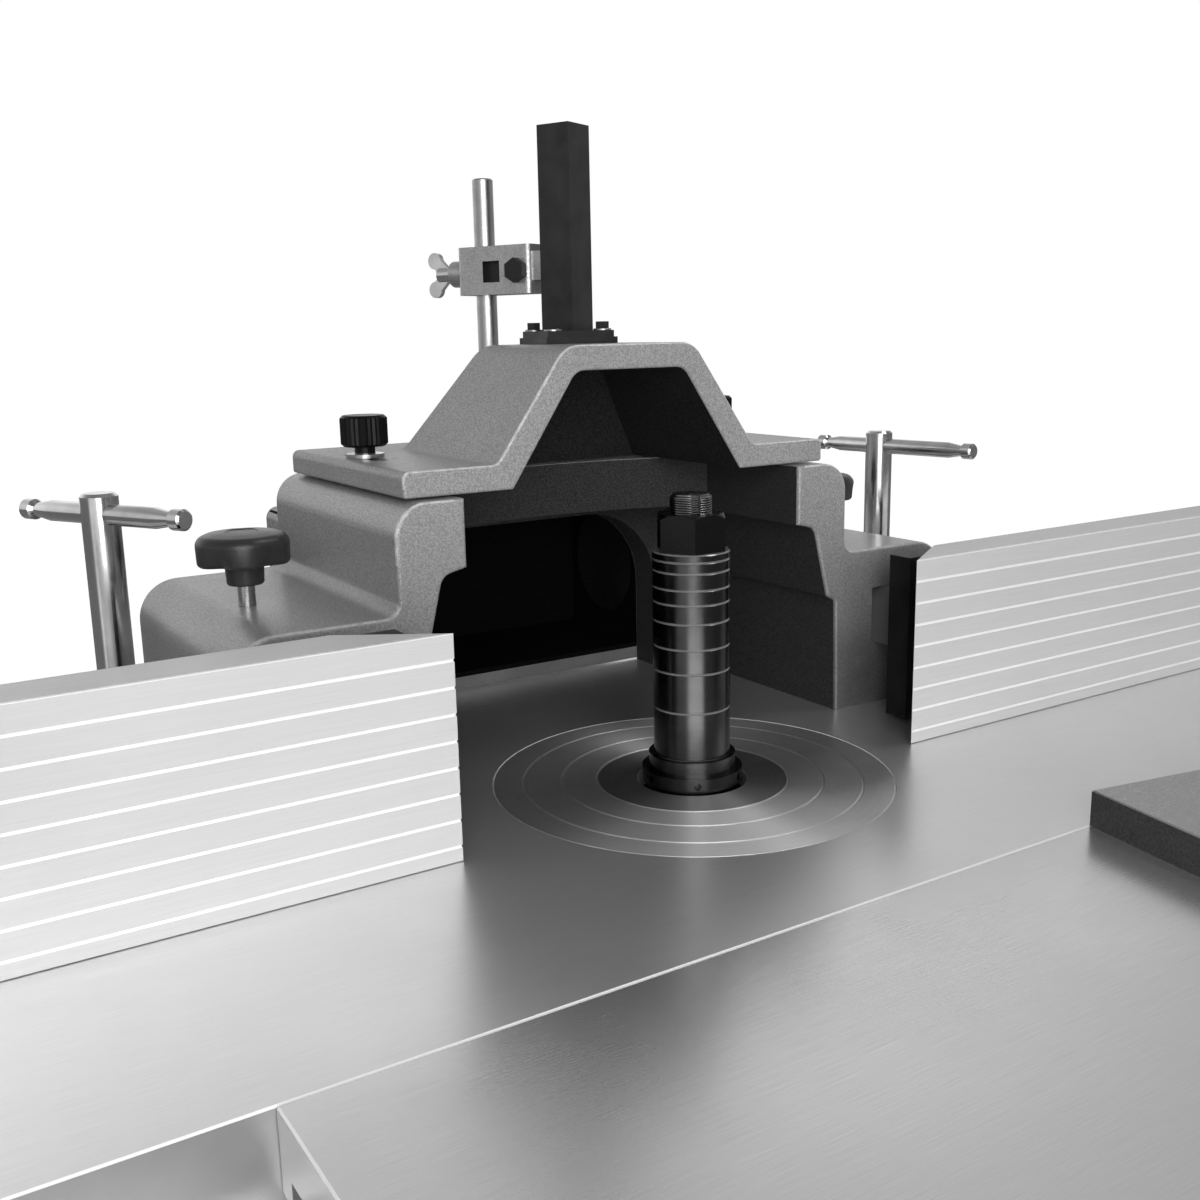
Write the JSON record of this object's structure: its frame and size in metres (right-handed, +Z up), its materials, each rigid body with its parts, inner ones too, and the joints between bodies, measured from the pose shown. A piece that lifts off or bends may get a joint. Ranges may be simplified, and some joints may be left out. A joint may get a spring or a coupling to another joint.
{
  "type": "spindle moulder",
  "caption": "Spindle moulder: iron table on a steel cabinet, rise-and-fall spindle with collars, cast dust hood with a split fence, hold-down post and a sliding table.",
  "frame": {"origin": "on the floor, straight under the spindle's axis", "axes": "+X along the fence to the right, +Y to the back, +Z up the spindle"},
  "size_m": [1.207, 0.8505, 1.29],
  "materials": {
    "hood_enamel": "grey hammered enamel",
    "table_iron": "ground and oiled",
    "sliding_alloy": "ground",
    "mitre_black": "black enamel with a bright ground top",
    "fence_alloy": "satin anodised",
    "carrier_black": "satin black",
    "arbor_steel": "turned",
    "collar_steel": "turned and polished",
    "clamp_chrome": "bright",
    "knob_black": "satin black",
    "post_black": "black oxide",
    "clamp_cast": "as cast",
    "cabinet_enamel": "fine hammered enamel",
    "switch_case": "textured",
    "button_green": "gloss",
    "button_red": "gloss",
    "wheel_iron": "painted",
    "frame_iron": "primed",
    "motor_enamel": "satin blue-grey",
    "pulley_alloy": "turned",
    "belt_rubber": "ribbed",
    "gear_steel": "cut",
    "bush_bronze": "turned",
    "block_alloy": "milled"
  },
  "bodies": {
    "machine": {"cabinet": "cabinet_enamel", "table": "table_iron", "table_ring_outer": "table_iron", "table_ring_large": "table_iron", "table_ring_small": "table_iron", "table_ring_inner": "table_iron", "slide_rail": "cabinet_enamel", "guide_rods": "collar_steel", "spindle_frame": "frame_iron", "guide_columns": "collar_steel", "switch_box": "switch_case", "handwheel_bush": "bush_bronze"},
    "door": {"cabinet_door": "cabinet_enamel"},
    "start": {"start_button": "button_green"},
    "stop": {"stop_button": "button_red"},
    "carriage": {"carriage": "frame_iron", "spindle_housing": "frame_iron", "spindle_bearings": "collar_steel", "lead_nut": "bush_bronze", "motor_plate": "frame_iron", "motor_housing": "motor_enamel", "motor_fan_cover": "motor_enamel", "drive_belt": "belt_rubber"},
    "spindle": {"spindle_shaft": "arbor_steel", "spacer_collars": "collar_steel", "spindle_nut": "arbor_steel", "spindle_pulley": "pulley_alloy"},
    "motor_rotor": {"motor_shaft": "arbor_steel", "motor_pulley": "pulley_alloy"},
    "screw": {"lead_screw": "arbor_steel", "screw_gear": "gear_steel"},
    "wheel": {"handwheel_shaft": "arbor_steel", "shaft_gear": "gear_steel", "handwheel": "wheel_iron"},
    "grip": {"handwheel_grip": "knob_black"},
    "hood": {"hood_body": "hood_enamel", "dust_chute": "cabinet_enamel"},
    "clamp_left": {"clamp_post_left": "clamp_chrome"},
    "clamp_right": {"clamp_post_right": "clamp_chrome"},
    "bar_left": {"clamp_bar_left": "clamp_chrome"},
    "bar_right": {"clamp_bar_right": "clamp_chrome"},
    "star_left": {"star_knob_left": "knob_black"},
    "star_right": {"star_knob_right": "knob_black"},
    "carrier_left": {"fence_carrier_left": "carrier_black", "fence_bolts_left": "post_black"},
    "carrier_right": {"fence_carrier_right": "carrier_black", "fence_bolts_right": "post_black"},
    "fence_left": {"fence_plate_left": "fence_alloy"},
    "fence_right": {"fence_plate_right": "fence_alloy"},
    "cover": {"hood_cover": "hood_enamel", "holddown_post": "post_black", "post_bolts": "post_black"},
    "cover_knob_left": {"cover_knob_left": "knob_black"},
    "cover_knob_right": {"cover_knob_right": "knob_black"},
    "holddown": {"holddown_clamp": "clamp_cast"},
    "rod": {"holddown_rod": "clamp_chrome"},
    "wing_screw": {"wing_bolt": "clamp_chrome"},
    "sliding": {"sliding_table": "sliding_alloy", "bearing_blocks": "block_alloy"},
    "mitre": {"mitre_plate": "mitre_black"}
  },
  "joints": [
    {"name": "door_hinge", "type": "hinge", "parent": "machine", "child": "door", "pos_m": [0.3173, 0.2523, 0.37], "axis": [0, 0, 1], "range_deg": [0, 110]},
    {"name": "start_press", "type": "slide", "parent": "machine", "child": "start", "axis": [0, 1, 0], "range_m": [0, 0.005], "stiffness_N_per_m": 400},
    {"name": "stop_press", "type": "slide", "parent": "machine", "child": "stop", "axis": [0, 1, 0], "range_m": [0, 0.005], "stiffness_N_per_m": 400},
    {"name": "handwheel_turn", "type": "hinge", "parent": "machine", "child": "wheel", "pos_m": [0, -0.234, 0.354], "axis": [0, 1, 0], "range_deg": [-4320, 360]},
    {"name": "grip_spin", "type": "hinge", "parent": "wheel", "child": "grip", "pos_m": [0, -0.284, 0.446], "axis": [0, 1, 0], "continuous": true},
    {"name": "spindle_rise", "type": "slide", "parent": "machine", "child": "carriage", "axis": [0, 0, 1], "range_m": [-0.12, 0.01]},
    {"name": "screw_turn", "type": "hinge", "parent": "machine", "child": "screw", "pos_m": [0, -0.1, 0.5], "axis": [0, 0, 1], "range_deg": [-4320, 360]},
    {"name": "spindle_spin", "type": "hinge", "parent": "carriage", "child": "spindle", "pos_m": [0, 0, 0.7], "axis": [0, 0, 1], "continuous": true},
    {"name": "motor_spin", "type": "hinge", "parent": "carriage", "child": "motor_rotor", "pos_m": [0, 0.195, 0.6], "axis": [0, 0, 1], "continuous": true},
    {"name": "hood_slide", "type": "slide", "parent": "machine", "child": "hood", "axis": [0, 1, 0], "range_m": [-0.04, 0.04]},
    {"name": "clamp_left_turn", "type": "hinge", "parent": "machine", "child": "clamp_left", "pos_m": [-0.324, 0.163, 0.9], "axis": [0, 0, 1], "range_deg": [-180, 180]},
    {"name": "clamp_right_turn", "type": "hinge", "parent": "machine", "child": "clamp_right", "pos_m": [0.324, 0.163, 0.9], "axis": [0, 0, 1], "range_deg": [-180, 180]},
    {"name": "bar_left_slide", "type": "slide", "parent": "clamp_left", "child": "bar_left", "axis": [-0.4802, 0.8771, 0], "range_m": [-0.045, 0.045]},
    {"name": "bar_right_slide", "type": "slide", "parent": "clamp_right", "child": "bar_right", "axis": [0.1478, -0.989, 0], "range_m": [-0.055, 0.035]},
    {"name": "star_left_turn", "type": "hinge", "parent": "hood", "child": "star_left", "pos_m": [-0.243, 0.1495, 1.02], "axis": [0, 0, 1], "range_deg": [-180, 180]},
    {"name": "star_right_turn", "type": "hinge", "parent": "hood", "child": "star_right", "pos_m": [0.243, 0.1495, 1.02], "axis": [0, 0, 1], "range_deg": [-180, 180]},
    {"name": "carrier_left_slide", "type": "slide", "parent": "hood", "child": "carrier_left", "axis": [0, 1, 0], "range_m": [-0.015, 0.015]},
    {"name": "carrier_right_slide", "type": "slide", "parent": "hood", "child": "carrier_right", "axis": [0, 1, 0], "range_m": [-0.015, 0.015]},
    {"name": "fence_left_slide", "type": "slide", "parent": "carrier_left", "child": "fence_left", "axis": [1, 0, 0], "range_m": [-0.06, 0.1]},
    {"name": "fence_right_slide", "type": "slide", "parent": "carrier_right", "child": "fence_right", "axis": [1, 0, 0], "range_m": [-0.1, 0.06]},
    {"name": "cover_slide", "type": "slide", "parent": "hood", "child": "cover", "axis": [0, 1, 0], "range_m": [-0.025, 0.025]},
    {"name": "cover_knob_left_turn", "type": "hinge", "parent": "hood", "child": "cover_knob_left", "pos_m": [-0.148, 0.172, 1.08], "axis": [0, 0, 1], "range_deg": [-180, 180]},
    {"name": "cover_knob_right_turn", "type": "hinge", "parent": "hood", "child": "cover_knob_right", "pos_m": [0.148, 0.172, 1.08], "axis": [0, 0, 1], "range_deg": [-180, 180]},
    {"name": "holddown_slide", "type": "slide", "parent": "cover", "child": "holddown", "axis": [0, 0, 1], "range_m": [0, 0.06]},
    {"name": "rod_slide", "type": "slide", "parent": "holddown", "child": "rod", "axis": [0, 0, 1], "range_m": [0, 0.1]},
    {"name": "wing_turn", "type": "hinge", "parent": "holddown", "child": "wing_screw", "pos_m": [-0.04649, 0.24619, 1.194], "axis": [-0.4226, 0.9063, 0], "range_deg": [-180, 180]},
    {"name": "table_slide", "type": "slide", "parent": "machine", "child": "sliding", "axis": [1, 0, 0], "range_m": [-0.3, 0.3]},
    {"name": "mitre_swivel", "type": "hinge", "parent": "sliding", "child": "mitre", "pos_m": [0.28415, -0.30544, 0.87], "axis": [0, 0, 1], "range_deg": [-30, 30]}
  ],
  "couplings": [
    {"joint": "spindle_rise", "follows": "handwheel_turn", "m_per_rad": 0.0015915},
    {"joint": "screw_turn", "follows": "handwheel_turn", "ratio": 1},
    {"joint": "motor_spin", "follows": "spindle_spin", "ratio": 0.68966}
  ]
}
